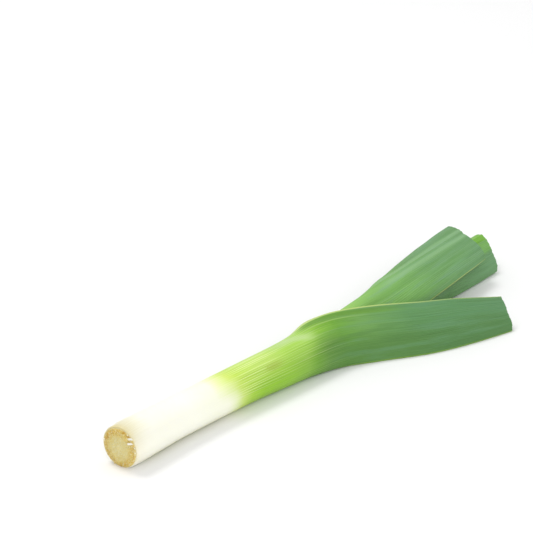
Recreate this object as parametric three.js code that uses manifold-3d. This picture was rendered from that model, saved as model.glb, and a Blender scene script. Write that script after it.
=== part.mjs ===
// A trimmed leek lying on its side. Millimetres, +Z up, +X from the root to the leaf ends.
// The origin is on the flat spot under the white shaft.
import * as THREE from 'three';
import { mergeVertices } from 'three/addons/utils/BufferGeometryUtils.js';
import Module from 'manifold-3d';

const wasm = await Module();
wasm.setup();

// Where the origin lies, measured from the root end of the shaft
const originAhead = 60;
// How far the leek has settled into its own flat spots
const settle = 0.45;

// Root end. The shaft is cut a little aslant there, and x values are on its axis
const rootCentreY = -1.9;
const rootCentreZ = 14.2;
const rootSlant = 4;
const footX = 0.5;
const socketRadius = 11.5;
const socketDepth = 3;
const jointGap = 0.3;
const latheSegments = 40;

// Root plate: its crown is ahead of its edge by the dome's height
const plateRadius = 14.6;
const plateEdgeX = -0.7;
const plateDome = 1.3;
const domeSteps = [0, 0.35, 0.62, 0.84, 1];

// Cut roots on the plate, dense ones by a spiral rule from the inner to the outer share of its
// radius, and a few long ones on the upper near edge. Angles and leans are in radians
const stubs = {
  count: 96,
  sides: 5,
  inner: 0.28,
  outer: 0.93,
  thickness: 0.42,
  length: 0.35,
  lean: 0.25,
  sunk: 0.8,
  taper: 0.85,
};
const longStubs = {
  count: 5,
  share: 0.82,
  thickness: 0.6,
  length: 1.4,
  lean: 0.3,
  angle: 0.75,
  step: 0.12,
};
// How unlike each other the roots are
const uneven = { share: 0.04, angle: 0.08, thickness: 0.2, lean: 0.1 };

// Leaf wall: at the margin, added halfway up, added along the keel
const marginWall = 0.75;
const bladeWall = 0.6;
const keelWall = 0.6;
const keelSpread = 4;
// Length over which a blade bends at its keel
const foldLength = 3;
// Low relief of the leaves: every other column sunk by the ribs, the keel of a blade raised
const ribDepth = 0.18;
const keelRise = 0.45;
const cutWave = 0.0016;

// Columns across a leaf from its far margin over the keel to its near margin
const columns = 24;
const integralSteps = 20;

// Leaves. Every row is one station of the keel, from the foot to past the cut end:
// [x, y, z, lie, far width, near width, squeeze, open, fold]
// lie is the direction of the near half at the keel in degrees, squeeze flattens the sheath,
// open goes from 0 for a closed sheath to 1 for an open blade, fold is the blade's half angle.
const outerLeaf = {
  side: -1,
  farLead: 1.9,
  curlFar: 2,
  curlNear: 11,
  curlPower: 2,
  pocket: 146,
  split: 182,
  cut: [0.9767, 0.0105],
  rows: [
    [-9, -10.9, 3.8, 140, 43.5, 43.5, 0, 0, 60],
    [3, -11.7, 2.8, 140, 48.4, 48.4, 0, 0, 60],
    [14, -11.6, 2.8, 140, 49.2, 49.2, 0, 0, 60],
    [34, -10.5, 3.0, 140, 47.9, 47.9, 0, 0, 60],
    [60, -9.6, 3.2, 140, 46.5, 46.5, 0, 0, 60],
    [120, -10.2, 3.0, 140, 46.5, 46.5, 0.05, 0, 60],
    [160, -13.0, 2.8, 140, 47.5, 47.5, 0.12, 0, 60],
    [192, -16.0, 2.4, 138, 48.5, 48.5, 0.2, 0.03, 62],
    [222, -23, 1.6, 130, 44, 47.5, 0.3, 0.5, 65],
    [248, -37, 1.2, 122, 45, 46, 0.3, 0.9, 67],
    [285, -58.5, 1.0, 118, 43, 44, 0.3, 1, 68],
    [325, -73.5, 1.0, 116, 40, 40, 0.3, 1, 69],
    [378, -86.5, 1.0, 113, 29, 29, 0.3, 1, 70],
  ],
};
const secondLeaf = {
  side: 1,
  farLead: 1,
  curlFar: 150,
  curlNear: 70,
  curlPower: 4,
  pocket: 201,
  split: 258,
  cut: [0.973, -0.03],
  rows: [
    [150, 5.6, 23.2, 140, 34.5, 34.5, 0.05, 0, 8],
    [200, 4.3, 26.1, 140, 34.2, 34.2, 0.08, 0, 8],
    [240, 6.8, 29.2, 142, 35.5, 35.5, 0.1, 0, 8],
    [270, 9.4, 31.5, 150, 36, 37.5, 0.2, 0.06, 8],
    [300, 11.4, 32.4, 160, 32.5, 40, 0.3, 0.4, 8],
    [340, 14.0, 34.6, 171, 29, 40.5, 0.3, 0.8, 8],
    [400, 19.0, 36.8, 182, 28, 38.5, 0.3, 1, 8],
    [460, 25, 37.6, 188, 28, 34.5, 0.3, 1, 8],
  ],
};
const thirdLeaf = {
  side: -1,
  farLead: 1,
  curlFar: 16,
  curlNear: 16,
  curlPower: 2,
  pocket: 246,
  split: 310,
  cut: [0.943, 0.019],
  rows: [
    [208, -8.0, 11.5, 140, 27, 27, 0, 0, 56],
    [235, -6.3, 13.4, 140, 27, 27, 0, 0, 56],
    [260, -4.0, 13.2, 140, 27, 27, 0.05, 0, 56],
    [300, -3.3, 10.2, 140, 28, 28, 0.2, 0, 56],
    [335, -7.5, 7.5, 132, 31, 31, 0.3, 0.4, 56],
    [384, -9, 3.6, 122, 32, 31, 0.3, 1, 58],
    [430, -7, 2.2, 119, 32, 31.5, 0.3, 1, 60],
    [490, -2, 2, 117, 30, 30, 0.3, 1, 60],
  ],
};
const heartLeaf = {
  side: 1,
  farLead: 1,
  curlFar: 25,
  curlNear: 25,
  curlPower: 2,
  pocket: 300,
  split: 322,
  cut: [0.946, -0.01],
  rows: [
    [250, 5.8, 25.0, 140, 18.2, 18.2, 0, 0, 40],
    [300, 6.7, 21.9, 140, 18, 18, 0.05, 0, 40],
    [345, 9, 25.4, 150, 18.6, 19.6, 0.2, 0.2, 40],
    [390, 13, 26.5, 168, 21, 22.5, 0.3, 0.8, 40],
    [435, 18, 27, 184, 25, 25, 0.3, 1, 40],
    [495, 22, 27, 190, 24, 24, 0.3, 1, 40],
  ],
};

// Colours
const shaftGreen = 0x9dbf5e;
const secondGreen = 0x7ba97e;
const thirdGreen = 0x5c8f5a;
const heartGreen = 0x8fbf4f;
const rootTan = 0xd3b072;

const upward = new THREE.Vector3(0, 0, 1);
const degrees = THREE.MathUtils.degToRad;

// Smooth curves through three chosen columns of a leaf's rows
function columnsCurve(leaf, a, b, c) {
  const points = leaf.rows.map((row) => new THREE.Vector3(row[a], row[b], row[c]));
  return new THREE.CatmullRomCurve3(points, false, 'catmullrom', 0.5);
}

function prepareLeaf(leaf) {
  leaf.keel = columnsCurve(leaf, 0, 1, 2);
  leaf.stance = columnsCurve(leaf, 3, 6, 7);
  leaf.spread = columnsCurve(leaf, 4, 5, 8);
}

// Heading of the leaf section at the signed share v of its width, in radians
function heading(leaf, lie, squeeze, open, fold, width, v) {
  const share = Math.abs(v);
  const curl = v < 0 ? leaf.curlFar : leaf.curlNear;
  const ring = Math.PI * v + squeeze * Math.sin(2 * Math.PI * v);
  const kink = fold * (1 - Math.exp((-share * width) / foldLength));
  const blade = Math.sign(v) * degrees(kink + curl * share ** leaf.curlPower);
  return degrees(lie) + leaf.side * ((1 - open) * ring + open * blade);
}

// How far the relief sinks the skin: ribs on every other column, less the ridge of the keel
function reliefAt(open, v, width) {
  const ribs = ribDepth * (0.5 - 0.5 * Math.cos((Math.PI * columns * v) / 2));
  return open * (ribs - keelRise * Math.exp(-((v * width) ** 2)));
}

// Point of the outer skin at the share t along the leaf and v across it, moved inward by depth
function skinPoint(leaf, t, v, depth) {
  const keel = leaf.keel.getPoint(t);
  const along = leaf.keel.getTangent(t);
  const across = new THREE.Vector3().crossVectors(upward, along).normalize();
  const rise = new THREE.Vector3().crossVectors(along, across);
  const stance = leaf.stance.getPoint(t);
  const spread = leaf.spread.getPoint(t);
  const lead = v < 0 ? leaf.farLead : 1;
  const open = Math.min(1, Math.max(0, stance.z * lead));
  const width = v < 0 ? spread.x : spread.y;
  const angleAt = (w) => heading(leaf, stance.x, stance.y, open, spread.z, width, w);
  const step = v / integralSteps;
  let a = 0;
  let b = 0;
  for (let i = 0; i < integralSteps; i += 1) {
    const angle = angleAt((i + 0.5) * step);
    a += width * step * Math.cos(angle);
    b += width * step * Math.sin(angle);
  }
  const angle = angleAt(v);
  const inward = depth + reliefAt(open, v, width);
  a -= leaf.side * inward * Math.sin(angle);
  b += leaf.side * inward * Math.cos(angle);
  return keel.addScaledVector(across, a).addScaledVector(rise, b);
}

function wallAt(v, width) {
  const fromKeel = Math.abs(v) * width;
  const keel = keelWall * Math.exp(-((fromKeel / keelSpread) ** 2));
  return marginWall + bladeWall * (1 - v * v) + keel;
}

// Share along the keel at which x is reached
function shareAtX(leaf, x) {
  let low = 0;
  let high = 1;
  for (let i = 0; i < 40; i += 1) {
    const middle = (low + high) / 2;
    if (leaf.keel.getPoint(middle).x < x) {
      low = middle;
    } else {
      high = middle;
    }
  }
  return low;
}

// A leaf as one closed body: a solid foot, a sheath round a pocket, then a blade that opens
// where the sheath splits. stations are shares of the way along the leaf.
function leafGeometry(leaf, before, between, after) {
  prepareLeaf(leaf);
  const pocket = shareAtX(leaf, leaf.pocket);
  const split = shareAtX(leaf, leaf.split);
  const stations = [];
  const fill = (from, to, count) => {
    for (let i = 0; i < count; i += 1) {
      stations.push(from + ((to - from) * i) / count);
    }
  };
  fill(0, pocket, before);
  fill(pocket, split, between);
  fill(split, 1, after);
  stations.push(1);
  const pocketRow = before;
  const splitRow = before + between;
  const lastRow = stations.length - 1;

  const positions = [];
  const triangle = (p, q, r) => positions.push(...p, ...q, ...r);
  const quad = (p, q, r, s) => {
    triangle(p, q, r);
    triangle(p, r, s);
  };
  // The cut end runs slantwise, so the last stations reach further on one half
  const reach = (row, v) => {
    const past = Math.max(0, (stations[row] - split) / (1 - split));
    const end = leaf.cut[0] + leaf.cut[1] * v + cutWave * Math.sin(9 * v) * Math.sin(4 * v);
    return row <= splitRow ? stations[row] : split + (end - split) * past;
  };
  const skin = (row, column, inside) => {
    let v = (2 * column) / columns - 1;
    if (row <= splitRow && column === columns) {
      v = -1;
    }
    const depth = inside ? wallAt(v, leaf.rows[0][4]) : 0;
    return skinPoint(leaf, reach(row, v), v, depth).toArray();
  };
  const outside = stations.map((_, row) => {
    return Array.from({ length: columns + 1 }, (_, column) => skin(row, column, false));
  });
  const within = stations.map((_, row) => {
    if (row < pocketRow) {
      return [];
    }
    return Array.from({ length: columns + 1 }, (_, column) => skin(row, column, true));
  });
  const middle = (ring) => {
    const sum = new THREE.Vector3();
    ring.slice(0, columns).forEach((p) => sum.add(new THREE.Vector3(...p)));
    return sum.divideScalar(columns).toArray();
  };

  for (let column = 0; column < columns; column += 1) {
    const next = column + 1;
    triangle(middle(outside[0]), outside[0][next], outside[0][column]);
    triangle(middle(within[pocketRow]), within[pocketRow][column], within[pocketRow][next]);
    for (let row = 0; row < lastRow; row += 1) {
      const near = outside[row];
      const far = outside[row + 1];
      quad(near[column], near[next], far[next], far[column]);
    }
    for (let row = pocketRow; row < lastRow; row += 1) {
      const near = within[row];
      const far = within[row + 1];
      quad(near[column], far[column], far[next], near[next]);
    }
    const rim = outside[lastRow];
    const lip = within[lastRow];
    quad(rim[column], rim[next], lip[next], lip[column]);
  }
  for (let row = splitRow; row < lastRow; row += 1) {
    quad(outside[row][0], outside[row + 1][0], within[row + 1][0], within[row][0]);
    const nearEdge = outside[row][columns];
    quad(nearEdge, within[row][columns], within[row + 1][columns], outside[row + 1][columns]);
  }
  const geometry = new THREE.BufferGeometry();
  geometry.setAttribute('position', new THREE.Float32BufferAttribute(positions, 3));
  return leaf.side > 0 ? geometry : flipped(geometry);
}

// The same surface with every face turned over
function flipped(geometry) {
  const array = geometry.getAttribute('position').array;
  for (let i = 0; i < array.length; i += 9) {
    for (let k = 0; k < 3; k += 1) {
      const held = array[i + 3 + k];
      array[i + 3 + k] = array[i + 6 + k];
      array[i + 6 + k] = held;
    }
  }
  return geometry;
}

function toSolid(geometry) {
  const bare = geometry.clone();
  bare.deleteAttribute('normal');
  bare.deleteAttribute('uv');
  const merged = mergeVertices(bare, 1e-4);
  const mesh = new wasm.Mesh({
    numProp: 3,
    vertProperties: new Float32Array(merged.getAttribute('position').array),
    triVerts: new Uint32Array(merged.index.array),
  });
  return new wasm.Manifold(mesh);
}

function toGeometry(solid) {
  const mesh = solid.getMesh();
  const geometry = new THREE.BufferGeometry();
  geometry.setAttribute('position', new THREE.BufferAttribute(mesh.vertProperties, 3));
  geometry.setIndex(new THREE.BufferAttribute(mesh.triVerts, 1));
  geometry.computeVertexNormals();
  return geometry;
}

// What lies below the surface that the leek rests on, a slab wider than the leek
function belowSurface() {
  const length = 700;
  const depth = 20;
  const box = new THREE.BoxGeometry(length, length, depth);
  box.translate(length / 3, 0, -depth / 2);
  return toSolid(box);
}

function settled(solid) {
  const geometry = toGeometry(solid);
  geometry.translate(0, 0, -settle);
  return toSolid(geometry).subtract(belowSurface());
}

// Turns a geometry made about the X axis to the aslant root end
function atRootEnd(geometry) {
  geometry.rotateZ(degrees(rootSlant));
  geometry.translate(0, rootCentreY, rootCentreZ);
  return geometry;
}

// A body of revolution at the root end from a profile of [radius, x] pairs in rising x
function turned(profile) {
  const points = profile.map(([radius, x]) => new THREE.Vector2(radius, x));
  const geometry = new THREE.LatheGeometry(points, latheSegments);
  geometry.rotateZ(-Math.PI / 2);
  return toSolid(atRootEnd(geometry));
}

function seededRandom(seed) {
  let state = seed;
  return () => {
    state = (state * 1664525 + 1013904223) % 4294967296;
    return state / 4294967296;
  };
}

function domeX(share) {
  return plateEdgeX - plateDome * (1 - share ** 2);
}

// One cut root: a short tapered peg that starts inside the plate and leans outward
function rootStub(share, angle, thickness, length, lean) {
  const whole = length + stubs.sunk;
  const peg = new THREE.CylinderGeometry(thickness * stubs.taper, thickness, whole, stubs.sides);
  peg.translate(0, whole / 2 - stubs.sunk, 0);
  peg.rotateZ(Math.PI / 2);
  peg.rotateY(-lean);
  peg.translate(domeX(share), 0, share * plateRadius);
  peg.rotateX(angle);
  return toSolid(atRootEnd(peg));
}

// The plate: a low dome over the whole cut end, with a peg that fills the socket behind it
function rootPlateSolid() {
  const back = footX - jointGap;
  const pegRadius = socketRadius - jointGap;
  const profile = [
    ...domeSteps.map((share) => [share * plateRadius, domeX(share)]),
    [plateRadius, back],
    [pegRadius, back],
    [pegRadius, back + socketDepth],
    [0, back + socketDepth],
  ];
  let solid = turned(profile);
  const random = seededRandom(7);
  const around = (spread) => (random() - 0.5) * spread;
  const goldenAngle = Math.PI * (3 - Math.sqrt(5));
  for (let i = 0; i < stubs.count; i += 1) {
    const rank = (i + 0.5) / stubs.count;
    const evenly = stubs.inner ** 2 + (stubs.outer ** 2 - stubs.inner ** 2) * rank;
    const share = Math.sqrt(evenly) + around(uneven.share);
    const angle = i * goldenAngle + around(uneven.angle);
    const length = stubs.length * (0.5 + rank + random());
    const thickness = stubs.thickness + around(uneven.thickness);
    const lean = stubs.lean * rank + around(uneven.lean);
    solid = solid.add(rootStub(share, angle, thickness, length, lean));
  }
  for (let i = 0; i < longStubs.count; i += 1) {
    const share = longStubs.share + around(uneven.share);
    const angle = longStubs.angle + longStubs.step * i + around(uneven.angle);
    const length = longStubs.length + random();
    solid = solid.add(rootStub(share, angle, longStubs.thickness, length, longStubs.lean));
  }
  return solid;
}

function meshOf(name, solid, color) {
  const material = new THREE.MeshStandardMaterial({ color, roughness: 0.5, metalness: 0 });
  const mesh = new THREE.Mesh(toGeometry(solid), material);
  mesh.name = name;
  return mesh;
}

// The outer leaf: its sheath is the shaft, cut at the foot, with a socket for the root plate
const clear = 20;
const footProfile = [
  [0, -clear],
  [clear, -clear],
  [clear, footX],
  [socketRadius, footX],
  [socketRadius, footX + socketDepth],
  [0, footX + socketDepth],
];
const outerSolid = toSolid(leafGeometry(outerLeaf, 11, 3, 17)).subtract(turned(footProfile));

const leek = new THREE.Group();
leek.add(meshOf('outer_leaf', settled(outerSolid), shaftGreen));
leek.add(meshOf('root_plate', settled(rootPlateSolid()), rootTan));
leek.add(meshOf('second_leaf', settled(toSolid(leafGeometry(secondLeaf, 2, 3, 16))), secondGreen));
leek.add(meshOf('third_leaf', settled(toSolid(leafGeometry(thirdLeaf, 2, 3, 14))), thirdGreen));
leek.add(meshOf('heart_leaf', settled(toSolid(leafGeometry(heartLeaf, 2, 2, 14))), heartGreen));
leek.position.x = -originAhead;

export default leek;
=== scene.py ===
from math import pi, radians, tan

import bpy
import numpy as np
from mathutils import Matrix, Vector


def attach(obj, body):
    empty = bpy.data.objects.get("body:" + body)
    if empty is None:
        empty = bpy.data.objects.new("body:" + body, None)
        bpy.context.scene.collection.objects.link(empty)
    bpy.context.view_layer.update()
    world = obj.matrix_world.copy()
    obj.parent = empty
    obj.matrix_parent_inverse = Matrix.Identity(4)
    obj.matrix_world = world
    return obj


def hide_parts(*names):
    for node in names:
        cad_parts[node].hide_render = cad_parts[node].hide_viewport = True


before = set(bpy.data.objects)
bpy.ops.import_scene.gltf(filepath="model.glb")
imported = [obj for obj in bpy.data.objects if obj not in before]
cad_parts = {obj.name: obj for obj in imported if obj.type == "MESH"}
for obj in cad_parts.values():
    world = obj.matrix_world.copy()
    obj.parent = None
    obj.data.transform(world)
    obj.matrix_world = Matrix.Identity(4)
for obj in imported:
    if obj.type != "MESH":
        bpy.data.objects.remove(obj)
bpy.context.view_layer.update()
print("frame loaded")

metre = 0.001  # the tables below are in millimetres
originAhead = 60.0  # the origin lies this far ahead of the root end
settle = 0.45  # how far the leek has sunk into its own flat spots


# One value in a material, with arithmetic that adds Math nodes
class Value:
    def __init__(self, paint, socket):
        self.paint = paint
        self.socket = socket

    def math(self, operation, *others):
        return self.paint.node("ShaderNodeMath", {"operation": operation}, [self, *others])

    def __add__(self, other):
        return self.math("ADD", other)

    def __sub__(self, other):
        return self.math("SUBTRACT", other)

    def __rsub__(self, other):
        return self.paint.node("ShaderNodeMath", {"operation": "SUBTRACT"}, [other, self])

    def __mul__(self, other):
        return self.math("MULTIPLY", other)

    def __truediv__(self, other):
        return self.math("DIVIDE", other)

    def __pow__(self, other):
        return self.math("POWER", other)

    def __abs__(self):
        return self.math("ABSOLUTE")


# A material's node tree with short ways to add nodes to it
class Paint:
    def __init__(self, name):
        self.material = bpy.data.materials.new(name)
        self.material.use_nodes = True
        self.tree = self.material.node_tree
        self.shader = self.tree.nodes["Principled BSDF"]

    def node(self, kind, settings=None, inputs=(), output=0):
        made = self.tree.nodes.new(kind)
        for key, setting in (settings or {}).items():
            if key == "stops":
                while len(made.color_ramp.elements) < len(setting):
                    made.color_ramp.elements.new(0.5)
                for element, (place, shade) in zip(made.color_ramp.elements, setting):
                    element.position = place
                    element.color = shade
            else:
                setattr(made, key, setting)
        pairs = inputs.items() if isinstance(inputs, dict) else enumerate(inputs)
        for key, given in pairs:
            self.feed(made.inputs[key], given)
        return Value(self, made.outputs[output])

    def feed(self, socket, given):
        if isinstance(given, Value):
            self.tree.links.new(given.socket, socket)
        else:
            socket.default_value = given

    def split(self, vector):
        parts = self.node("ShaderNodeSeparateXYZ", inputs=[vector]).socket.node.outputs
        return [Value(self, part) for part in parts]

    def place(self):  # object coordinates in millimetres, x from the root end
        x, y, z = self.split(self.node("ShaderNodeTexCoord", output="Object"))
        return x * (1 / metre) + originAhead, y * (1 / metre), z * (1 / metre)

    def sheet(self):  # across the leaf, -1 and 1 at its margins and 0 along its keel
        return self.split(self.node("ShaderNodeUVMap", {"uv_map": "leafMap"}))[0] * 2 - 1

    def attribute(self, name):
        return self.node("ShaderNodeAttribute", {"attribute_name": name}, output="Fac")

    def vector(self, x, y, z):
        return self.node("ShaderNodeCombineXYZ", inputs=[x, y, z])

    def noise(self, vector, detail=2.0, roughness=0.5):
        inputs = {"Vector": vector, "Scale": 1.0, "Detail": detail, "Roughness": roughness}
        return self.node("ShaderNodeTexNoise", inputs=inputs)

    def rise(self, value, low, high, start=0.0, end=1.0):  # smooth step from start to end
        settings = {"interpolation_type": "SMOOTHSTEP"}
        return self.node("ShaderNodeMapRange", settings, [value, low, high, start, end])

    def mix(self, factor, first, second, blend="MIX"):
        settings = {"data_type": "RGBA", "blend_type": blend}
        return self.node("ShaderNodeMix", settings, {0: factor, 6: first, 7: second}, 2)

    def ramp(self, value, stops):
        return self.node("ShaderNodeValToRGB", {"stops": stops}, [value])

    def bump(self, height, distance):
        return self.node("ShaderNodeBump", inputs={"Height": height, "Distance": distance})

    def finish(self, **sockets):
        for key, given in sockets.items():
            self.feed(self.shader.inputs[key.replace("_", " ")], given)
        return self.material


def colour(red, green, blue):  # a screen colour of 0 to 255 as the linear colour of a shader
    shares = np.array([red, green, blue]) / 255
    linear = np.where(shares <= 0.04045, shares / 12.92, ((shares + 0.055) / 1.055) ** 2.4)
    return (*map(float, linear), 1.0)


# Faces of a grid of vertex numbers, one quad between each four neighbours
def gridFaces(numbers, turned=False):
    a, b = numbers[..., :-1, :-1], numbers[..., :-1, 1:]
    c, d = numbers[..., 1:, 1:], numbers[..., 1:, :-1]
    corners = (a, d, c, b) if turned else (a, b, c, d)
    return np.stack([corner.ravel() for corner in corners], axis=1)


# A piece from points in millimetres and quads of vertex numbers, where a number that stands
# twice in a row makes the quad a triangle. It is moved to the frame and pressed flat at z = 0.
# values holds a number for each point by name, and across a place on the leaf for each corner
def newPiece(name, slotName, material, points, quads, values, across=None, sharpAngle=50):
    used, packed = np.unique(quads, return_inverse=True)
    packed = packed.reshape(quads.shape)
    moved = points[used] - [originAhead, 0, settle]
    moved[:, 2] = np.maximum(moved[:, 2], 0)
    kept = packed != np.roll(packed, 1, axis=1)
    kept[kept.sum(axis=1) < 3] = False
    sizes = kept.sum(axis=1)
    sizes = sizes[sizes > 0]
    corners = packed[kept]
    mesh = bpy.data.meshes.new(name)
    mesh.vertices.add(len(moved))
    mesh.vertices.foreach_set("co", (moved * metre).astype(np.float32).ravel())
    mesh.loops.add(len(corners))
    mesh.loops.foreach_set("vertex_index", corners.astype(np.int32))
    mesh.polygons.add(len(sizes))
    mesh.polygons.foreach_set("loop_start", (np.cumsum(sizes) - sizes).astype(np.int32))
    mesh.polygons.foreach_set("use_smooth", np.ones(len(sizes), bool))
    mesh.update(calc_edges=True)
    mesh.set_sharp_from_angle(angle=radians(sharpAngle))
    mesh.materials.append(material)
    for key, pointValues in values.items():
        layer = mesh.attributes.new(key, "FLOAT", "POINT")
        layer.data.foreach_set("value", pointValues[used].astype(np.float32))
    if across is not None:
        leafMap = np.zeros((len(corners), 2), np.float32)
        leafMap[:, 0] = across[kept]
        mesh.uv_layers.new(name="leafMap").data.foreach_set("uv", leafMap.ravel())
    piece = bpy.data.objects.new(name, mesh)
    bpy.context.scene.collection.objects.link(piece)
    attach(piece, "root")
    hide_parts(slotName)
    print(name, len(mesh.polygons), "faces")


# The root end, cut a little aslant, with x and radii on its own axis. The rim of the sheath is
# a list of x and share of the way from its inner radius to the skin, and the rim of the plate
# one of x and radius
rootEnd = {
    "centre": (-1.9, 14.2),
    "slant": 4.0,
    "slantFades": (3.0, 30.0),
    "skinFrom": 1.2,
    "rimRadius": 14.2,
    "rim": [(2.4, 0.0), (-0.45, 0.0), (-0.55, 0.15), (-0.6, 0.45), (-0.4, 0.75), (0.2, 0.95)],
    "plateRadius": 14.1,
    "plateEdgeX": -0.7,
    "plateRim": [(-0.67, 14.0), (-0.55, 14.1), (0.4, 14.17), (2.0, 14.1), (2.0, 0.0)],
    "faceRadius": 13.75,
    "dome": 1.3,
    "roughWaves": 30,
    "roughLengths": (0.7, 5.0),
    "roughDepth": 0.02,
    "roughSunk": 0.1,
}


# Points moved for the aslant end: x less tan(slant) times y, fading out along the shaft
def slanted(points):
    near, far = rootEnd["slantFades"]
    fade = np.clip((far - points[..., 0]) / (far - near), 0, 1) ** 2
    sideways = points[..., 1] - rootEnd["centre"][0]
    lessX = tan(radians(rootEnd["slant"])) * sideways * fade
    return points - lessX[..., None] * np.array([1, 0, 0])


# Rows of points round the rim of the root end, in the directions of the skin's first row
def rimRows(skinRow):
    centre = np.array(rootEnd["centre"])
    outward = skinRow[:, 1:] - centre
    reach = np.linalg.norm(outward, axis=1)
    outward /= reach[:, None]
    rows = []
    for x, share in rootEnd["rim"]:
        radius = rootEnd["rimRadius"] * (1 - share) + reach * share
        rows.append(np.column_stack([np.full(len(reach), x), centre + outward * radius[:, None]]))
    return np.array(rows)


# Every leaf row is one station of the keel, from the foot to past the cut end: place of the
# keel (x, y, z), direction of the near half at the keel in degrees, far and near half width,
# squeeze of the sheath, how far the section has opened, half angle of the fold in degrees.
# A swell is a depth with its x and spread along the leaf, and its share and spread across it
outerLeaf = {
    "name": "outer_leaf",
    "side": -1,
    "farLead": 1.9,
    "curl": (2, 11),
    "curlPower": 2,
    "pocket": 146,
    "split": 182,
    "cut": (0.9767, 0.0105),
    "rows": [
        [-9, -10.9, 3.8, 140, 43.5, 43.5, 0, 0, 60],
        [3, -11.7, 2.8, 140, 48.4, 48.4, 0, 0, 60],
        [14, -11.6, 2.8, 140, 49.2, 49.2, 0, 0, 60],
        [34, -10.5, 3.0, 140, 47.9, 47.9, 0, 0, 60],
        [60, -9.6, 3.2, 140, 46.5, 46.5, 0, 0, 60],
        [120, -10.2, 3.0, 140, 46.5, 46.5, 0.05, 0, 60],
        [160, -13.0, 2.8, 140, 47.5, 47.5, 0.12, 0, 60],
        [192, -16.0, 2.4, 138, 48.5, 48.5, 0.2, 0.03, 62],
        [222, -23, 1.6, 130, 44, 47.5, 0.3, 0.5, 65],
        [248, -37, 1.2, 122, 45, 46, 0.3, 0.9, 67],
        [285, -58.5, 1.0, 118, 43, 44, 0.3, 1, 68],
        [325, -73.5, 1.0, 116, 40, 40, 0.3, 1, 69],
        [378, -86.5, 1.0, 113, 29, 29, 0.3, 1, 70],
    ],
    "rings": (80, 24, 170),
    "columns": 128,
    "notch": (0.0, 0.0),
    "swells": [
        (-0.9, 214, 16, 0.62, 0.2),
        (0.9, 236, 34, 0.915, 0.04),
        (-0.4, 236, 34, 0.83, 0.025),
        (-3.6, 200, 13, 1.0, 0.16),
        (-1.2, 220, 12, 1.0, 0.16),
    ],
}
secondLeaf = {
    "name": "second_leaf",
    "side": 1,
    "farLead": 1.0,
    "curl": (150, 70),
    "curlPower": 4,
    "pocket": 201,
    "split": 258,
    "cut": (0.973, -0.03),
    "rows": [
        [150, 5.6, 23.2, 140, 34.5, 34.5, 0.05, 0, 8],
        [200, 4.3, 26.1, 140, 34.2, 34.2, 0.08, 0, 8],
        [240, 6.8, 29.2, 142, 35.5, 35.5, 0.1, 0, 8],
        [270, 9.4, 31.5, 150, 36, 37.5, 0.2, 0.06, 8],
        [300, 11.4, 32.4, 160, 32.5, 40, 0.3, 0.4, 8],
        [340, 14.0, 34.6, 171, 29, 40.5, 0.3, 0.8, 8],
        [400, 19.0, 36.8, 182, 28, 38.5, 0.3, 1, 8],
        [460, 25, 37.6, 188, 28, 34.5, 0.3, 1, 8],
    ],
    "rings": (6, 40, 200),
    "columns": 128,
    "notch": (-0.01, 0.0035),
    "swells": [
        (0.6, 272, 20, -0.05, 0.35),
        (-2.1, 315, 22, -0.36, 0.35),
        (-0.3, 350, 22, -0.6, 0.35),
        (0.9, 385, 24, -0.75, 0.35),
    ],
}
thirdLeaf = {
    "name": "third_leaf",
    "side": -1,
    "farLead": 1.0,
    "curl": (16, 16),
    "curlPower": 2,
    "pocket": 246,
    "split": 310,
    "cut": (0.943, 0.019),
    "rows": [
        [208, -8.0, 11.5, 140, 27, 27, 0, 0, 56],
        [235, -6.3, 13.4, 140, 27, 27, 0, 0, 56],
        [260, -4.0, 13.2, 140, 27, 27, 0.05, 0, 56],
        [300, -3.3, 10.2, 140, 28, 28, 0.2, 0, 56],
        [335, -7.5, 7.5, 132, 31, 31, 0.3, 0.4, 56],
        [384, -9, 3.6, 122, 32, 31, 0.3, 1, 58],
        [430, -7, 2.2, 119, 32, 31.5, 0.3, 1, 60],
        [490, -2, 2, 117, 30, 30, 0.3, 1, 60],
    ],
    "rings": (4, 30, 150),
    "columns": 112,
    "notch": (0.0, 0.0),
    "swells": [(0.5, 470, 60, 0.58, 0.03)],
}
heartLeaf = {
    "name": "heart_leaf",
    "side": 1,
    "farLead": 1.0,
    "curl": (25, 25),
    "curlPower": 2,
    "pocket": 300,
    "split": 322,
    "cut": (0.946, -0.01),
    "rows": [
        [250, 5.8, 25.0, 140, 18.2, 18.2, 0, 0, 40],
        [300, 6.7, 21.9, 140, 18, 18, 0.05, 0, 40],
        [345, 9, 25.4, 150, 18.6, 19.6, 0.2, 0.2, 40],
        [390, 13, 26.5, 168, 21, 22.5, 0.3, 0.8, 40],
        [435, 18, 27, 184, 25, 25, 0.3, 1, 40],
        [495, 22, 27, 190, 24, 24, 0.3, 1, 40],
    ],
    "rings": (4, 16, 130),
    "columns": 96,
    "notch": (0.0, 0.0),
    "swells": [],
}
wall = {"margin": 0.75, "blade": 0.6, "keel": 0.6, "keelSpread": 4.0}
foldLength = 3.0
relief = {
    "ribs": 12,
    "ribDepth": 0.14,
    "keelRise": 0.45,
    "grooveDepth": 0.2,
    "grooveFromKeel": 3,
    "waves": 8,
    "waveDepth": 0.06,
    "wavesAlong": (2, 9),
    "wavesAcross": (0.5, 3.5),
}
cutEnd = {"ragged": 0.0004, "uneven": 0.0009, "stepSteepness": 80}


# Rows at the shares t: a uniform Catmull-Rom spline through the table, its ends mirrored
def rowValues(rows, t):
    table = np.array(rows, float)
    last = len(table) - 1
    spot = np.clip(t, 0, 1) * last
    index = np.minimum(spot.astype(int), last - 1)
    f = (spot - index)[..., None]
    ends = np.vstack([2 * table[0] - table[1], table, 2 * table[-1] - table[-2]])
    a, b, c, d = (ends[index + k] for k in range(4))
    return b + 0.5 * f * (c - a + f * (2 * a - 5 * b + 4 * c - d + f * (3 * (b - c) + d - a)))


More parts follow.
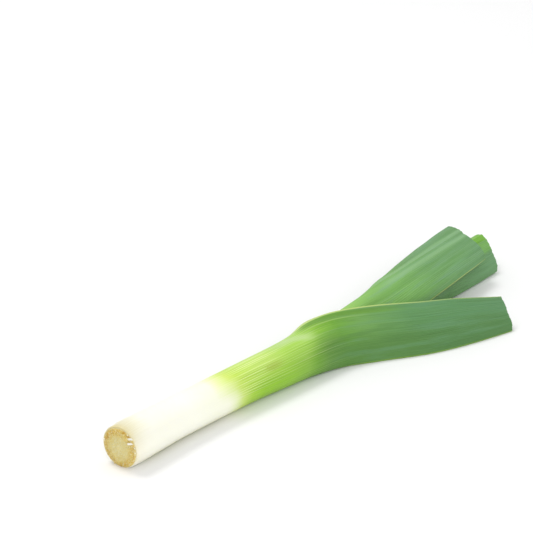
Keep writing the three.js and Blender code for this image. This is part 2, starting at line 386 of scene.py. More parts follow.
# Heading of the section at the share v: a closed ring turns by pi * v plus a squeeze, an open
# blade bends once at its keel and then curls with a power of v, and open mixes the two
def sectionHeading(leaf, values, v):
    lie, farWidth, nearWidth, squeeze, opened, fold = (values[..., k] for k in range(3, 9))
    far = v < 0
    share = np.abs(v)
    width = np.where(far, farWidth, nearWidth)
    curl = np.where(far, *leaf["curl"])
    opened = np.clip(np.where(far, opened * leaf["farLead"], opened), 0, 1)
    ring = pi * v + squeeze * np.sin(2 * pi * v)
    kink = fold * (1 - np.exp(-share * width / foldLength))
    blade = np.sign(v) * np.radians(kink + curl * share ** leaf["curlPower"])
    return np.radians(lie) + leaf["side"] * ((1 - opened) * ring + opened * blade), width


# Point of a leaf at the share t along it and v across it, moved inward by depth: the keel,
# plus the integral of the heading from the keel out to v, plus depth along the inner normal
def leafPoint(leaf, t, v, depth):
    rows = leaf["rows"]
    values = rowValues(rows, t)
    small = 1e-4
    along = rowValues(rows, t + small)[..., :3] - rowValues(rows, t - small)[..., :3]
    along /= np.linalg.norm(along, axis=-1)[..., None]
    across = np.cross([0.0, 0.0, 1.0], along)
    across /= np.linalg.norm(across, axis=-1)[..., None]
    rise = np.cross(along, across)
    a = np.zeros_like(v)
    b = np.zeros_like(v)
    for node, weight in zip(*np.polynomial.legendre.leggauss(16)):
        angle, width = sectionHeading(leaf, values, v * (node + 1) / 2)
        a += weight / 2 * v * width * np.cos(angle)
        b += weight / 2 * v * width * np.sin(angle)
    angle, width = sectionHeading(leaf, values, v)
    a -= leaf["side"] * depth * np.sin(angle)
    b += leaf["side"] * depth * np.cos(angle)
    return values[..., :3] + a[..., None] * across + b[..., None] * rise


# Depth of the low relief: ribs as a cosine of v, a keel ridge with a groove on both sides as
# bells about the keel, slow waves as a sum of seeded sines, and each swell as a bell in x and v
def leafRelief(leaf, t, v, seed):
    values = rowValues(leaf["rows"], t)
    opened = np.clip(values[..., 7], 0, 1)
    fromKeel = np.abs(v) * values[..., 5]
    fade = np.clip((1 - np.abs(v)) * 8, 0, 1)
    ribs = relief["ribDepth"] * (0.5 - 0.5 * np.cos(pi * relief["ribs"] * v))
    keel = relief["keelRise"] * np.exp(-(fromKeel**2))
    keel -= relief["grooveDepth"] * np.exp(-((fromKeel - relief["grooveFromKeel"]) ** 2) / 2)
    rng = np.random.default_rng(seed)
    waves = np.zeros_like(v)
    for _ in range(relief["waves"]):
        lengthwise = rng.uniform(*relief["wavesAlong"])
        crosswise = rng.uniform(*relief["wavesAcross"])
        phase = rng.uniform(0, 2 * pi)
        waves += relief["waveDepth"] * np.sin(2 * pi * (lengthwise * t + crosswise * v) + phase)
    depth = opened * (ribs + waves - keel) * np.sqrt(fade)
    for height, x, xSpread, share, shareSpread in leaf["swells"]:
        alongX = (values[..., 0] - x) / xSpread
        depth += height * np.exp(-(alongX**2) - ((v - share) / shareSpread) ** 2)
    return depth


# A leaf: an outer skin from foot to cut end, an inner skin from the pocket on, strips along
# both margins past the split and round the cut end, and a fan at the foot and the pocket floor
def makeLeaf(leaf, material, seed):
    rows = leaf["rows"]
    isShaft = leaf is outerLeaf
    shares = np.linspace(0, 1, 4001)
    places = [rootEnd["skinFrom"] if isShaft else rows[0][0], leaf["pocket"], leaf["split"]]
    foot, pocket, split = np.interp(places, rowValues(rows, shares)[:, 0], shares)
    sheathRows, pocketRows, bladeRows = leaf["rings"]
    stations = np.concatenate(
        [
            np.linspace(foot, pocket, sheathRows, endpoint=False),
            np.linspace(pocket, split, pocketRows, endpoint=False),
            np.linspace(split, 1, bladeRows + 1),
        ]
    )
    ring = leaf["columns"] + 1
    even = np.linspace(-1, 1, ring)
    v, station = np.meshgrid(even, stations)
    closed = station <= split
    v = np.where(closed & (v > 0.9999), -1.0, v)
    # the cut end runs slantwise, a little ragged, with a small step beside the keel, and no
    # further than the end of the keel curve
    rng = np.random.default_rng(seed + 50)
    ragged = np.convolve(rng.normal(0, 1, ring + 4), [0.2, 0.6, 0.2], "same")[2:-2]
    stepPlace, stepSize = leaf["notch"]
    end = leaf["cut"][0] + leaf["cut"][1] * even + cutEnd["ragged"] * ragged
    end += cutEnd["uneven"] * np.sin(9 * even) * np.sin(4 * even)
    end += stepSize / (1 + np.exp((even - stepPlace) * cutEnd["stepSteepness"]))
    end = np.minimum(end, 1)
    t = np.where(closed, station, split + (end - split) * (station - split) / (1 - split))
    depth = leafRelief(leaf, t, v, seed)
    thick = wall["margin"] + wall["blade"] * (1 - v**2)
    thick += wall["keel"] * np.exp(-((v * rows[0][4] / wall["keelSpread"]) ** 2))
    outside = leafPoint(leaf, t, v, depth)
    within = leafPoint(leaf, t, v, depth + thick)[sheathRows:]
    if isShaft:
        outside = slanted(np.concatenate([rimRows(outside[0]), outside]))
    outer = np.arange(len(outside) * ring).reshape(-1, ring)
    inner = outer.size + np.arange(len(within) * ring).reshape(-1, ring)
    footCentre = outer.size + inner.size
    outerSplit, innerSplit = len(outside) - bladeRows - 1, pocketRows
    strips = [
        (outer, False),
        (inner, True),
        (np.stack([outer[outerSplit:, 0], inner[innerSplit:, 0]]), False),
        (np.stack([outer[outerSplit:, -1], inner[innerSplit:, -1]]), True),
        (np.stack([outer[-1], inner[-1]]), False),
        (np.stack([np.full(ring, footCentre), outer[0]]), False),
        (np.stack([np.full(ring, footCentre + 1), inner[0]]), True),
    ]
    turned = leaf["side"] < 0
    quads = np.concatenate([gridFaces(numbers, turned != back) for numbers, back in strips])
    # the last column is the first one as far as the split, but keeps its own place on the map
    seamless = np.arange(footCentre + 2)
    seamless[outer[: outerSplit + 1, -1]] = outer[: outerSplit + 1, 0]
    seamless[inner[: innerSplit + 1, -1]] = inner[: innerSplit + 1, 0]
    middles = [outside[0, :-1].mean(axis=0), within[0, :-1].mean(axis=0)]
    points = np.concatenate([outside.reshape(-1, 3), within.reshape(-1, 3), middles])
    across = np.concatenate([np.tile(even / 2 + 0.5, len(outside) + len(within)), [0.5, 0.5]])
    name, values = leaf["name"], {"within": np.arange(len(points)) >= outer.size}
    newPiece(name + "_skin", name, material, points, seamless[quads], values, across[quads])


# Veins of a leaf: thin lines at even steps across, bent a little and each of its own strength,
# and the finer streaks between them
def leafVeins(paint, share, x, lines, seed):
    bend = paint.noise(paint.vector(share * 4, x * 0.008, seed))
    wave = ((share + bend * 0.05) * (2 * pi * lines)).math("SINE") * 0.5 + 0.5
    strength = paint.noise(paint.vector(share * (lines * 0.9), x * 0.006, seed + 3.0), 1.0)
    streak = paint.noise(paint.vector(share * (lines * 3.1), x * 0.012, seed + 7.0), 3.0, 0.6)
    return wave**3 * paint.rise(strength, 0.34, 0.62), streak


# Lines along the blades, with their share across and the shares where they rise
bladeLines = {
    # the pale band beside the keel: a paler midrib with painted sheen on it
    "paleAt": 0.12,
    "paleWidth": (0.13, 0.02),
    "paleFrom": (290, 325),
    "darkAt": 0.35,
    "darkWidth": (0.12, 0.02),
    "keelWidth": (0.026, 0.008),
}


# Colour along a leaf: a ramp through stops of x and screen colour
def alongRamp(paint, zone, stops):
    start, end = stops[0][0], stops[-1][0]
    places = [((at - start) / (end - start), colour(*shade)) for at, shade in stops]
    return paint.ramp((zone - start) / (end - start), places)


# Colours of the throat: a pale patch under the lip, partly pale bloom and partly painted sheen,
# that bends down with it, then a groove of painted shade in the crease below the margin's fold
# and a pale ridge that follow the near margin along the blade
def throatColours(paint, throat, shades, shade, x, across, streak):
    bent = across + paint.rise(x, *throat["bend"]) * throat["bendBy"]
    # partly pale bloom, partly painted sheen: a pale patch under the lip
    throatSheen = paint.rise(abs(bent - throat["ridgeAt"]), *throat["patchWidth"])
    throatSheen = throatSheen * paint.rise(x, *throat["patchFrom"]) * paint.rise(x, *throat["patchTo"])
    shade = paint.mix(throatSheen * (streak * 0.6 + 0.5), shade, shades["patch"])
    along = paint.rise(x, *throat["from"]) * throat["strength"]
    # painted shade: the crease below the fold of the near margin darker
    grooveShade = paint.rise(abs(across - throat["grooveAt"]), *throat["grooveWidth"])
    grooveShade = grooveShade * along * paint.rise(x, *throat["grooveTo"])
    shade = paint.mix(grooveShade, shade, shades["grooveShade"])
    ridge = paint.rise(abs(across - throat["ridgeAt"]), *throat["ridgeWidth"])
    ridge = ridge * along * paint.rise(x, *throat["ridgeTo"])
    return paint.mix(ridge, shade, shades["ridge"])


# Colours of the shaft: painted shade low down, an olive tint along its bottom near the floor,
# a stained foot, small brown marks where it is green, and one smudge, an ellipse in x and across
# with an uneven edge
def shaftColours(paint, shaft, shades, shade, place, across, uneven, green, seed):
    x, y, z = place
    # painted shade: an olive-grey tint along the bottom of the shaft, up to 8 mm above the floor
    lowShadeMask = paint.rise(z, *shaft["tintHeight"]) * paint.rise(x, *shaft["tintFades"])
    shade = paint.mix(lowShadeMask * paint.rise(x, *shaft["tintFrom"]), shade, shades["paintedLowShade"])
    foot = paint.noise(paint.vector(x * 0.2, y * 0.5, z * 0.5), 3.0, 0.6)
    stained = paint.rise(x + (foot - 0.5) * shaft["stainUneven"], *shaft["stainTo"])
    stained = stained * paint.rise(z - y * 0.2, *shaft["stainHeight"])
    shade = paint.mix(stained, shade, shades["stain"])
    mark = paint.noise(paint.vector(abs(across) * 14, x * 0.16, seed + 11.0), 3.0, 0.6)
    marked = paint.rise(mark, *shaft["markFrom"]) * green * shaft["marks"]
    shade = paint.mix(marked, shade, shades["mark"])
    alongX = (x - shaft["smudgeX"]) / shaft["smudgeLength"]
    aroundIt = (across - shaft["smudgeAcross"]) / shaft["smudgeWidth"]
    smudge = (alongX**2.0 + aroundIt**2.0).math("SQRT") + uneven * shaft["smudgeUneven"]
    return paint.mix(paint.rise(smudge, 1.0, 0.2) * shaft["smudge"], shade, shades["mark"])


# A leaf's skin: two ramps of colours along it, one for its lower and one for its upper part,
# then dark streaks, bloom, veins, lines along the blade with a pale band partly of painted sheen,
# the colours of the throat with painted sheen and painted shade, margin lines, the inner side,
# the cut face and the colours of the shaft with painted shade low down
def leafMaterial(name, look, seed):
    paint = Paint(name)
    shades = {key: colour(*shade) for key, shade in look["shades"].items()}
    place = paint.place()
    x = place[0]
    across = paint.sheet()
    share = abs(across)
    within = paint.attribute("within")
    veins, streak = leafVeins(paint, share, x, look["lines"], seed)
    patch = paint.noise(paint.vector(across * 3, x * 0.02, seed + 5.0))
    zone = x + (streak - 0.5) * look["streakShift"] + (patch - 0.5) * look["patchShift"]
    shade = alongRamp(paint, zone, look["stops"])
    if "highStops" in look:
        high = share + (patch - 0.5) * 0.2
        if "highLag" in look:  # round the throat the upper colours give way a little
            lag = paint.rise(x, *look["highLag"]) * paint.rise(x, *look["highLagTo"])
            high = high - lag * look["highLagBy"]
        high = paint.rise(high, *look["highFrom"])
        shade = paint.mix(high, shade, alongRamp(paint, zone, look["highStops"]))
    blade = paint.rise(x, *look["blade"])
    green = paint.rise(zone, *look["green"])
    darker = paint.rise(streak, 0.5, 0.3) * green * look["dark"]
    shade = paint.mix(darker, shade, shades["dark"], "MULTIPLY")
    bloom = paint.noise(paint.vector(across * 7, x * 0.014, seed + 9.0), 4.0, 0.6)
    bloomed = paint.rise(bloom, 0.45, 0.72) * blade * look["bloom"]
    shade = paint.mix(bloomed, shade, shades["bloom"])
    shade = paint.mix(paint.rise(bloom, 0.46, 0.3) * blade * 0.4, shade, shades["deep"])
    upper = paint.rise(share, 0.1, 0.5, look["lowVeins"], 1.0)
    clear = green * upper * (1 - blade * look["bladeFade"]) * look["veins"]
    if "veinsFade" in look:  # up the shaft the veins weaken, first beside the keel
        clear = clear * paint.rise(x - share * 60, *look["veinsFade"])
    veinShade = paint.mix(blade, shades["firstVein"], shades["vein"])
    shade = paint.mix(veins * clear, shade, veinShade)
    shade = paint.mix(paint.rise(streak, 0.52, 0.72) * clear * 0.6, shade, veinShade)
    # partly painted sheen: a pale band along the crest beside the keel
    paleSheenBand = paint.rise(abs(share - bladeLines["paleAt"]), *bladeLines["paleWidth"])
    paleSheenBand = paleSheenBand * blade * paint.rise(x, *bladeLines["paleFrom"])
    shade = paint.mix(paleSheenBand * look["paleSheenBand"], shade, shades["paleSheenBand"])
    stripe = paint.rise(abs(share - bladeLines["darkAt"]), *bladeLines["darkWidth"]) * blade
    shade = paint.mix(stripe * look["stripe"], shade, shades["deep"])
    keelLine = paint.rise(share, *bladeLines["keelWidth"]) * blade
    shade = paint.mix(keelLine * look["keelLine"], shade, shades["keelLine"])
    if "throat" in look:
        shade = throatColours(paint, look["throat"], shades, shade, x, across, streak)
    edge = share
    for start, end, step in look["marginNarrows"]:
        edge = edge - paint.rise(x, start, end, 0.0, step)
    marginLine = paint.rise(edge, *look["margin"]) * paint.rise(x, *look["marginFrom"])
    marginLine = marginLine * paint.rise(x, *look["marginFades"])
    shade = paint.mix(marginLine, shade, shades["marginLine"])
    shade = paint.mix(paint.rise(within, 0.6, 0.95) * 0.7, shade, shades["inside"])
    cutFace = paint.rise(within, 0.02, 0.1) * paint.rise(within, 0.98, 0.9)
    shade = paint.mix(cutFace * 0.5, shade, shades["cutFace"])
    if "shaft" in look:
        uneven, greenShaft = streak + patch - 1, green * (1 - blade)
        shaft = look["shaft"]
        shade = shaftColours(paint, shaft, shades, shade, place, across, uneven, greenShaft, seed)
    height = veins + streak * 0.6
    return paint.finish(
        Base_Color=shade,
        Roughness=blade * 0.08 + (streak * 0.12 + look["roughness"]),
        Normal=paint.bump(height * (green * 0.8 + 0.2), look["veinHeight"] * metre),
        Specular_IOR_Level=0.35,
        Subsurface_Weight=look["subsurface"],
        Subsurface_Radius=(1.0, 1.0, 0.5),
        Subsurface_Scale=0.002,
    )


outerLook = {
    "stops": [
        (0, (240, 236, 216)),
        (10, (244, 243, 228)),
        (60, (245, 245, 231)),
        (95, (241, 242, 222)),
        (103, (228, 236, 190)),
        (111, (198, 220, 112)),
        (120, (162, 204, 50)),
        (132, (144, 194, 34)),
        (160, (136, 186, 40)),
        (180, (126, 174, 52)),
        (190, (102, 154, 36)),
        (206, (88, 136, 48)),
        (225, (84, 131, 54)),
        (300, (78, 124, 64)),
        (400, (82, 127, 72)),
    ],
    "highStops": [
        # painted shade: these first stops make the top of the shaft darker and creamier near its
        # foot
        (0, (212, 202, 160)),
        (4, (222, 216, 184)),
        (9, (232, 229, 204)),
        (18, (243, 242, 228)),
        (60, (247, 247, 234)),
        (86, (244, 246, 222)),
        (95, (230, 240, 170)),
        (104, (204, 226, 100)),
        (112, (188, 220, 74)),
        (130, (190, 222, 96)),
        (148, (186, 218, 100)),
        (164, (168, 210, 80)),
        (190, (158, 204, 76)),
        (208, (134, 186, 52)),
        (224, (106, 160, 46)),
        (246, (110, 158, 80)),
        (285, (90, 140, 84)),
        (400, (84, 131, 88)),
    ],
    "highFrom": (0.25, 0.72),
    "highLag": (184, 204),
    "highLagTo": (232, 212),
    "highLagBy": 0.12,
    "shades": {
        "dark": (176, 196, 160),
        "bloom": (100, 146, 106),
        "deep": (70, 116, 54),
        "firstVein": (232, 242, 178),
        "vein": (134, 174, 104),
        "paleSheenBand": (96, 142, 80),
        "keelLine": (134, 172, 62),
        "marginLine": (188, 208, 124),
        # patch: partly pale bloom, partly painted sheen; groove: painted shade in the crease
        "patch": (184, 212, 138),
        "grooveShade": (96, 144, 40),
        "ridge": (146, 182, 94),
        "inside": (120, 170, 70),
        "cutFace": (150, 186, 100),
        # painted shade along the bottom of the shaft, near the floor
        "paintedLowShade": (190, 190, 124),
        "stain": (222, 206, 142),
        "mark": (146, 164, 44),
    },
    "lines": 27,
    "streakShift": 16.0,
    "patchShift": 10.0,
    "blade": (190, 235),
    "green": (98, 120),
    "dark": 0.5,
    "bloom": 0.45,
    "lowVeins": 0.3,
    "bladeFade": 0.6,
    "veins": 0.75,
    "veinsFade": (92, 128, 1.0, 0.4),
    "paleSheenBand": 0.0,
    "stripe": 0.0,
    "keelLine": 0.7,
    "margin": (0.932, 0.954),
    "marginNarrows": [(205, 225, 0.025), (225, 245, 0.01)],
    "marginFrom": (178, 190),
    "marginFades": (240, 330, 0.85, 0.4),
    "throat": {
        "bend": (176, 198),
        "bendBy": 0.11,
        "patchWidth": (0.12, 0.02),
        "patchFrom": (150, 176),
        "patchTo": (206, 190),
        "from": (188, 204),
        "strength": 0.75,
        "grooveAt": 0.91,
        "grooveWidth": (0.07, 0.03),
        "grooveTo": (300, 250),
        "ridgeAt": 0.83,
        "ridgeWidth": (0.015, 0.003),
        "ridgeTo": (262, 225),
    },
    "shaft": {
        "tintHeight": (8, 0),
        "tintFades": (190, 60, 0.0, 0.62),
        "tintFrom": (2, 24),
        "stainUneven": 8,
        "stainTo": (3.2, -0.6),
        "stainHeight": (0, 20, 0.15, 0.35),
        "markFrom": (0.67, 0.75),
        "marks": 0.5,
        "smudge": 0.45,
        "smudgeX": 147,
        "smudgeAcross": 0.52,
        "smudgeLength": 13,
        "smudgeWidth": 0.1,
        "smudgeUneven": 1.2,
    },
    "roughness": 0.3,
    "veinHeight": 0.12,
    "subsurface": 0.1,
}
secondLook = {
    "stops": [
        (200, (170, 208, 96)),
        (270, (134, 186, 86)),
        (310, (120, 174, 84)),
        (360, (102, 152, 84)),
        (460, (96, 142, 94)),
    ],
    "shades": {
        "dark": (170, 190, 156),
        "bloom": (112, 154, 122),
        "deep": (88, 138, 64),
        "firstVein": (150, 194, 110),
        "vein": (150, 188, 130),
        "paleSheenBand": (142, 184, 132),
        "keelLine": (130, 174, 104),
        "marginLine": (156, 176, 96),
        "inside": (128, 178, 84),
        "cutFace": (150, 186, 110),
    },
    "lines": 24,
    "streakShift": 30.0,
    "patchShift": 20.0,
    "blade": (250, 300),
    "green": (180, 250),
    "dark": 0.6,
    "bloom": 0.5,
    "lowVeins": 0.5,
    "bladeFade": 0.3,
    "veins": 0.5,
    "paleSheenBand": 0.5,
    "stripe": 0.35,
    "keelLine": 0.2,
    "margin": (0.972, 0.986),
    "marginNarrows": [],
    "marginFrom": (250, 262),
    "marginFades": (380, 460, 0.85, 0.4),
    "roughness": 0.48,
    "veinHeight": 0.12,
    "subsurface": 0.06,
}
thirdLook = {
    "stops": [
        (230, (160, 200, 84)),
        (300, (108, 162, 70)),
        (370, (90, 137, 76)),
        (430, (94, 141, 88)),
        (500, (100, 147, 96)),
    ],
    # the brighter upper colours near the margin are partly the leaf's yellower green and partly
    # painted light where it turns up
    "highStops": [
        (230, (160, 200, 84)),
        (300, (124, 178, 72)),
        (400, (112, 168, 72)),
        (500, (112, 168, 80)),
    ],
    "highFrom": (0.55, 0.72),
    "shades": {
        "dark": (176, 196, 160),
        "bloom": (110, 154, 112),
        "deep": (78, 124, 66),
        "firstVein": (150, 190, 100),
        "vein": (124, 168, 106),
        "paleSheenBand": (96, 142, 84),
        "keelLine": (116, 160, 84),
        "marginLine": (120, 170, 76),
        "inside": (120, 172, 66),
        "cutFace": (140, 180, 96),
    },
    "lines": 20,
    "streakShift": 26.0,
    "patchShift": 16.0,
    "blade": (300, 340),
    "green": (210, 280),
    "dark": 0.5,
    "bloom": 0.4,
    "lowVeins": 0.5,
    "bladeFade": 0.5,
    "veins": 0.5,
    "paleSheenBand": 0.0,
    "stripe": 0.0,
    "keelLine": 0.4,
    "margin": (0.972, 0.986),
    "marginNarrows": [],
    "marginFrom": (300, 315),
    "marginFades": (380, 460, 0.85, 0.4),
    "roughness": 0.36,
    "veinHeight": 0.12,
    "subsurface": 0.06,
}
heartLook = {
    "stops": [
        (250, (190, 214, 104)),
        (340, (136, 188, 64)),
        (430, (110, 172, 50)),
        (500, (108, 170, 50)),
    ],
    "shades": {
        "dark": (186, 204, 160),
        "bloom": (130, 184, 76),
        "deep": (90, 152, 44),
        "firstVein": (180, 212, 120),
        "vein": (150, 200, 92),
        "paleSheenBand": (130, 184, 70),
        "keelLine": (130, 180, 70),
        "marginLine": (150, 186, 84),
        "inside": (134, 186, 66),
        "cutFace": (160, 200, 100),
    },
    "lines": 15,
    "streakShift": 24.0,
    "patchShift": 16.0,
    "blade": (320, 360),
    "green": (250, 300),
    "dark": 0.4,
    "bloom": 0.4,
    "lowVeins": 0.5,
    "bladeFade": 0.4,
    "veins": 0.5,
    "paleSheenBand": 0.2,
    "stripe": 0.0,
    "keelLine": 0.3,
    "margin": (0.972, 0.986),
    "marginNarrows": [],
    "marginFrom": (315, 330),
    "marginFades": (380, 460, 0.85, 0.4),
    "roughness": 0.36,
    "veinHeight": 0.12,
    "subsurface": 0.06,
}

makeLeaf(outerLeaf, leafMaterial("outer_leaf_skin", outerLook, 1.0), 11)
makeLeaf(secondLeaf, leafMaterial("second_leaf_skin", secondLook, 21.0), 12)
makeLeaf(thirdLeaf, leafMaterial("third_leaf_skin", thirdLook, 41.0), 13)
makeLeaf(heartLeaf, leafMaterial("heart_leaf_skin", heartLook, 61.0), 14)

# The profile of a stub is a list of share of its length and of its thickness, with a tone of
# painted shade for each of its rings in hollow. The stubs stand between two squared shares of
# the plate's radius, and thicker and longer are a factor in the middle and what it gains further
# out. White stubs are a list of share of the plate's radius, angle in degrees from the far side
# up, length, thickness, and the leans away from the axis and round it. Brown spots are a list of
# y and z from the axis and radius
rootPlate = {
    "rings": 70,
    "columns": 220,
    "stubs": 520,
    "sides": 6,
    "profile": [(0, 1.25), (0.45, 1.0), (0.8, 0.95), (1.0, 0.88), (1.0, 0.6), (0.9, 0.0)],
    "hollow": [0, 0, 0, 0.1, 0.5, 1.0],
    "area": (0.02, 0.89),
    "outerFrom": 0.5,
    "outerOver": 0.35,
    "thickness": (0.26, 0.42),
    "thicker": (0.75, 0.35),
    "length": (0.12, 0.55),
    "longer": (0.45, 0.75),
    "lean": 0.5,
    "leanVaries": 0.3,
    "twist": 0.5,
    "sunk": 0.5,
    "spots": 0.34,
    "paleOnes": 0.16,
    "whiteStubs": [
        (0.83, 131, 0.85, 0.75, 4.9, 2.4),
        (0.67, 145, 0.9, 0.8, 5.7, 1.3),
        (0.97, 139, 0.4, 0.5, 4.6, 1.0),
        (0.95, 122, 0.4, 0.45, 2.0, 0.0),
        (0.94, 164, 0.6, 0.45, 2.4, 0.2),
        (0.93, 12, 1.0, 0.4, 1.2, 0.0),
        (0.95, 178, 0.5, 0.36, 2.0, 0.0),
    ],
    "brownSpots": [(9.6, 5.6, 1.5), (-4.2, 12.6, 1.6), (-8.4, 10.4, 1.7), (-13.0, 3.6, 0.9)],
    "shades": {
        "brown": (196, 152, 52),
        "pith": (217, 208, 154),
        "straw": (219, 203, 132),
        "tan": (223, 199, 110),
        "rust": (212, 170, 74),
        # dark: the colour of painted shade, on the far side and in stub hollows
        "dark": (192, 160, 84),
        "chalk": (232, 222, 176),
        "white": (248, 246, 232),
    },
}


# Dome of the root plate: x is that of its edge, less the dome's height times 1 - share
# squared, plus a roughness, a sum of seeded sines in the plane of the plate that is sunk a
# little and fades out at the edge
def domeX(share, angle):
    rng = np.random.default_rng(5)
    y = share * rootEnd["plateRadius"] * np.cos(angle)
    z = share * rootEnd["plateRadius"] * np.sin(angle)
    rough = np.zeros_like(share)
    for _ in range(rootEnd["roughWaves"]):
        length = rng.uniform(*rootEnd["roughLengths"])
        heading, phase = rng.uniform(0, 2 * pi, 2)
        turn = (y * np.cos(heading) + z * np.sin(heading)) * 2 * pi / length
        rough += rootEnd["roughDepth"] * length**0.7 * np.sin(turn + phase)
    rough = (rough - rootEnd["roughSunk"]) * np.clip((1 - share) * 12, 0, 1)
    return rootEnd["plateEdgeX"] - rootEnd["dome"] * (1 - share**2) + rough


# Points on the root end from x, radius and angle about its axis
def aboutRootAxis(x, radius, angle):
    centre = rootEnd["centre"]
    y, z = radius * np.cos(angle) + centre[0], radius * np.sin(angle) + centre[1]
    return slanted(np.stack([x, y, z], axis=-1))


# The plate: rings of the dome, a rounded edge, a straight side and a flat back, closed on a
# point in the middle of both faces
def plateGrid():
    angle = np.linspace(0, 2 * pi, rootPlate["columns"] + 1)
    share = np.linspace(0, 1, rootPlate["rings"]) ** 0.8
    s, a = np.meshgrid(share, angle, indexing="ij")
    x, r = domeX(s, a), s * rootEnd["faceRadius"]
    for turnX, turnRadius in rootEnd["plateRim"]:
        x = np.vstack([x, np.full(len(angle), turnX)])
        r = np.vstack([r, np.full(len(angle), turnRadius)])
    points = aboutRootAxis(x, r, np.broadcast_to(angle, x.shape))
    numbers = np.arange(x.size).reshape(x.shape)
    numbers[:, -1] = numbers[:, 0]
    numbers[0] = numbers[0, 0]
    numbers[-1] = numbers[-1, 0]
    return points, numbers


# Cut roots as a grid of stubs, rings and sides: each is a tapered tube from inside the plate
# outward along its lean, its rim turned in to a shallow hollow. They stand on a seeded golden
# angle spiral
def stubGrid():
    rng = np.random.default_rng(9)
    count = rootPlate["stubs"]
    rank = (np.arange(count) + 0.5) / count
    least, most = rootPlate["area"]
    share = np.sqrt(least + (most - least) * rank) + rng.uniform(-0.02, 0.02, count)
    angle = np.arange(count) * pi * (3 - 5**0.5) + rng.uniform(-0.06, 0.06, count)
    outer = np.clip((share - rootPlate["outerFrom"]) / rootPlate["outerOver"], 0, 1)
    least, gain = rootPlate["thicker"]
    thickness = rng.uniform(*rootPlate["thickness"], count) * (least + gain * outer)
    least, gain = rootPlate["longer"]
    length = rng.uniform(*rootPlate["length"], count) * (least + gain * outer)
    varies = rootPlate["leanVaries"]
    lean = rootPlate["lean"] * outer + rng.uniform(-varies, varies, count)
    twist = rng.uniform(-rootPlate["twist"], rootPlate["twist"], count)
    draw = rng.uniform(0, 1, count)
    spot = (draw < rootPlate["spots"] * (0.15 + outer)) * rng.uniform(0.5, 1, count)
    pale = (draw > 1 - rootPlate["paleOnes"]) * rng.uniform(0.1, 0.35, count)
    white = np.array(rootPlate["whiteStubs"])
    chosen = count - 1 - np.arange(len(white))
    share[chosen], length[chosen], thickness[chosen] = white[:, 0], white[:, 2], white[:, 3]
    angle[chosen] = np.radians(white[:, 1])
    lean[chosen], twist[chosen] = white[:, 4], white[:, 5]
    spot[chosen], pale[chosen] = 0, 1
    step, wide = np.array(rootPlate["profile"]).T
    around = np.linspace(0, 2 * pi, rootPlate["sides"] + 1)[:-1]
    run = step[:, None] * (length[:, None, None] + rootPlate["sunk"]) - rootPlate["sunk"]
    girth = (wide * thickness[:, None])[..., None]
    radius = (share * rootEnd["plateRadius"])[:, None, None]
    outward = radius + lean[:, None, None] * np.maximum(run, 0) + girth * np.cos(around)
    sideways = girth * np.sin(around) + twist[:, None, None] * np.maximum(run, 0)
    x = domeX(share, angle)[:, None, None] - run + np.zeros_like(outward)
    turn = angle[:, None, None] + np.arctan2(sideways, outward)
    points = aboutRootAxis(x, np.hypot(outward, sideways), turn)
    numbers = np.arange(x.size).reshape(x.shape)
    numbers = np.concatenate([numbers, numbers[..., :1]], axis=-1)
    for end in (0, -1):
        numbers[:, end] = numbers[:, end, :1]
        points[:, end] = points[:, end].mean(axis=1)[:, None]
    hollow = np.array(rootPlate["hollow"])[:, None]
    tones = {"spot": spot[:, None, None], "pale": pale[:, None, None], "hollow": hollow}
    return points, numbers, {key: np.broadcast_to(tone, x.shape) for key, tone in tones.items()}


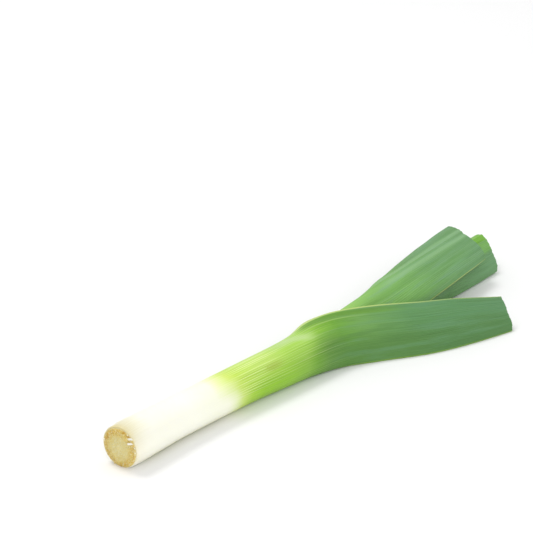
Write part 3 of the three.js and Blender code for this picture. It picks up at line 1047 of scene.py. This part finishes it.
# The root end's colour: fine rings and grain from pith to straw, tan towards the edge, then
# rust and brown spots, painted shade towards the far side, chalky flecks, painted shade in the
# hollows of rusty stubs, a chalky edge above that is partly a painted highlight, and white on
# single stubs
def rootMaterial():
    paint = Paint("root_plate_fibre")
    shades = {key: colour(*shade) for key, shade in rootPlate["shades"].items()}
    x, y, z = paint.place()
    y = y - rootEnd["centre"][0]
    z = z - (rootEnd["centre"][1] - settle)
    radius = (y * y + z * z).math("SQRT")
    spot, pale, hollow = (paint.attribute(key) for key in ("spot", "pale", "hollow"))
    grain = paint.noise(paint.vector(x * 0.5, y * 0.5, z * 0.5), 4.0, 0.7)
    fine = paint.noise(paint.vector(x * 1.2, y * 1.0, z * 1.4), 4.0, 0.7)
    blot = paint.noise(paint.vector(x * 0.2, y * 0.62, z * 0.62))
    speck = paint.noise(paint.vector(x * 0.2 + 9.0, y * 0.8, z * 0.8))
    rings = (radius * 4.4 + grain * 9).math("SINE") * 0.5 + 0.5
    fromMiddle = paint.rise(radius + (grain - 0.5) * 9, 4, 10)
    shade = paint.mix(fromMiddle, shades["pith"], shades["straw"])
    shade = paint.mix(rings * 0.5 * paint.rise(radius, 11, 5), shade, shades["straw"])
    edge = paint.rise(radius + (grain - 0.5) * 12, 7.5, 13.0)
    shade = paint.mix(edge * 0.7, shade, shades["tan"])
    shade = paint.mix(paint.rise(fine, 0.5, 0.62) * 0.65, shade, shades["tan"])
    shade = paint.mix(paint.rise(fine, 0.46, 0.36) * 0.4, shade, shades["chalk"])
    shade = paint.mix(paint.rise(blot, 0.53, 0.62) * (edge * 0.85), shade, shades["rust"])
    shade = paint.mix(spot * 0.35, shade, shades["rust"])
    for spotY, spotZ, size in rootPlate["brownSpots"]:
        fromSpot = ((y - spotY) ** 2.0 + (z - spotZ) ** 2.0).math("SQRT") + (grain - 0.5) * 1.6
        shade = paint.mix(paint.rise(fromSpot, size, size * 0.4) * 0.85, shade, shades["brown"])
    # painted shade: the plate darker towards its far side and its edge
    shade = paint.mix(paint.rise(y - z * 0.3, -2, 12) * edge * 0.35, shade, shades["dark"])
    shade = paint.mix(paint.rise(speck, 0.53, 0.62) * (edge * 0.3 + 0.25), shade, shades["chalk"])
    # painted shade in the hollow ends of the rust-spotted stubs
    shade = paint.mix(hollow * spot * 0.4, shade, shades["dark"])
    # partly the pale rim of the sheath, partly a painted highlight: a chalky edge above and to
    # the near side
    paleEdgeAndHighlight = paint.rise(radius + (grain - 0.5) * 4, 13.2, 14.1) * paint.rise(z - y, -6, 8)
    shade = paint.mix(paleEdgeAndHighlight * 0.5, shade, shades["chalk"])
    shade = paint.mix(pale, shade, shades["white"])
    return paint.finish(
        Base_Color=shade,
        Roughness=0.7,
        Normal=paint.bump(fine + grain, 0.25 * metre),
        Specular_IOR_Level=0.3,
        Subsurface_Weight=0.1,
        Subsurface_Radius=(1.0, 0.8, 0.4),
        Subsurface_Scale=0.002,
    )


# The plate and its stubs as one piece
def makeRootPlate():
    platePoints, plateNumbers = plateGrid()
    stubPoints, stubNumbers, tones = stubGrid()
    points = np.concatenate([platePoints.reshape(-1, 3), stubPoints.reshape(-1, 3)])
    stubNumbers += plateNumbers.size
    quads = np.concatenate([gridFaces(plateNumbers), gridFaces(stubNumbers, True)])
    bare = np.zeros(plateNumbers.size)
    values = {key: np.concatenate([bare, tone.ravel()]) for key, tone in tones.items()}
    newPiece("root_plate_fibres", "root_plate", rootMaterial(), points, quads, values)


makeRootPlate()

studio = {
    "floorSize": 9.0,
    "floorShade": (241, 241, 241),
    "skyStrength": 0.8,
    "lights": [
        ("keyLight", (0.2, 2.0, 3.5), (0.2, 0.0, 0.0), 1.5, 57.0),
        ("fillLight", (-1.4, -2.4, 1.7), (0.15, 0.0, 0.0), 2.4, 29.0),
    ],
    "azimuth": 49.8,
    "elevation": 21.2,
    "distance": 1.36,
    "target": (0.2853, 0.1623, 0.0),
    "lens": 102.1,
}


def makeFloor():
    half = studio["floorSize"] / 2
    mesh = bpy.data.meshes.new("floor")
    corners = [(-half, -half, 0), (half, -half, 0), (half, half, 0), (-half, half, 0)]
    mesh.from_pydata(corners, [], [(0, 1, 2, 3)])
    floor = bpy.data.objects.new("floor", mesh)
    bpy.context.scene.collection.objects.link(floor)
    shade = colour(*studio["floorShade"])
    mesh.materials.append(Paint("floor_white").finish(Base_Color=shade, Roughness=0.6))


def makeLight(name, place, target, size, power):
    data = bpy.data.lights.new(name, "AREA")
    data.shape = "DISK"
    data.size = size
    data.energy = power
    light = bpy.data.objects.new(name, data)
    light.location = place
    aim = Vector(target) - Vector(place)
    light.rotation_euler = aim.to_track_quat("-Z", "Y").to_euler()
    bpy.context.scene.collection.objects.link(light)


def makeCamera():
    turn, lift = radians(studio["azimuth"]), radians(studio["elevation"])
    forward = Vector((np.cos(lift) * np.sin(turn), np.cos(lift) * np.cos(turn), -np.sin(lift)))
    data = bpy.data.cameras.new("camera")
    data.lens = studio["lens"]
    data.sensor_width = 36.0
    data.clip_end = 50.0
    camera = bpy.data.objects.new("camera", data)
    camera.location = Vector(studio["target"]) - forward * studio["distance"]
    camera.rotation_euler = forward.to_track_quat("-Z", "Y").to_euler()
    bpy.context.scene.collection.objects.link(camera)
    bpy.context.scene.camera = camera


def makeSky():
    world = bpy.data.worlds.new("studio")
    world.use_nodes = True
    background = world.node_tree.nodes["Background"]
    background.inputs["Color"].default_value = (1, 1, 1, 1)
    background.inputs["Strength"].default_value = studio["skyStrength"]
    bpy.context.scene.world = world


makeFloor()
makeSky()
makeCamera()
for light in studio["lights"]:
    makeLight(*light)
bpy.context.scene.view_settings.view_transform = "Standard"
print("stage made")
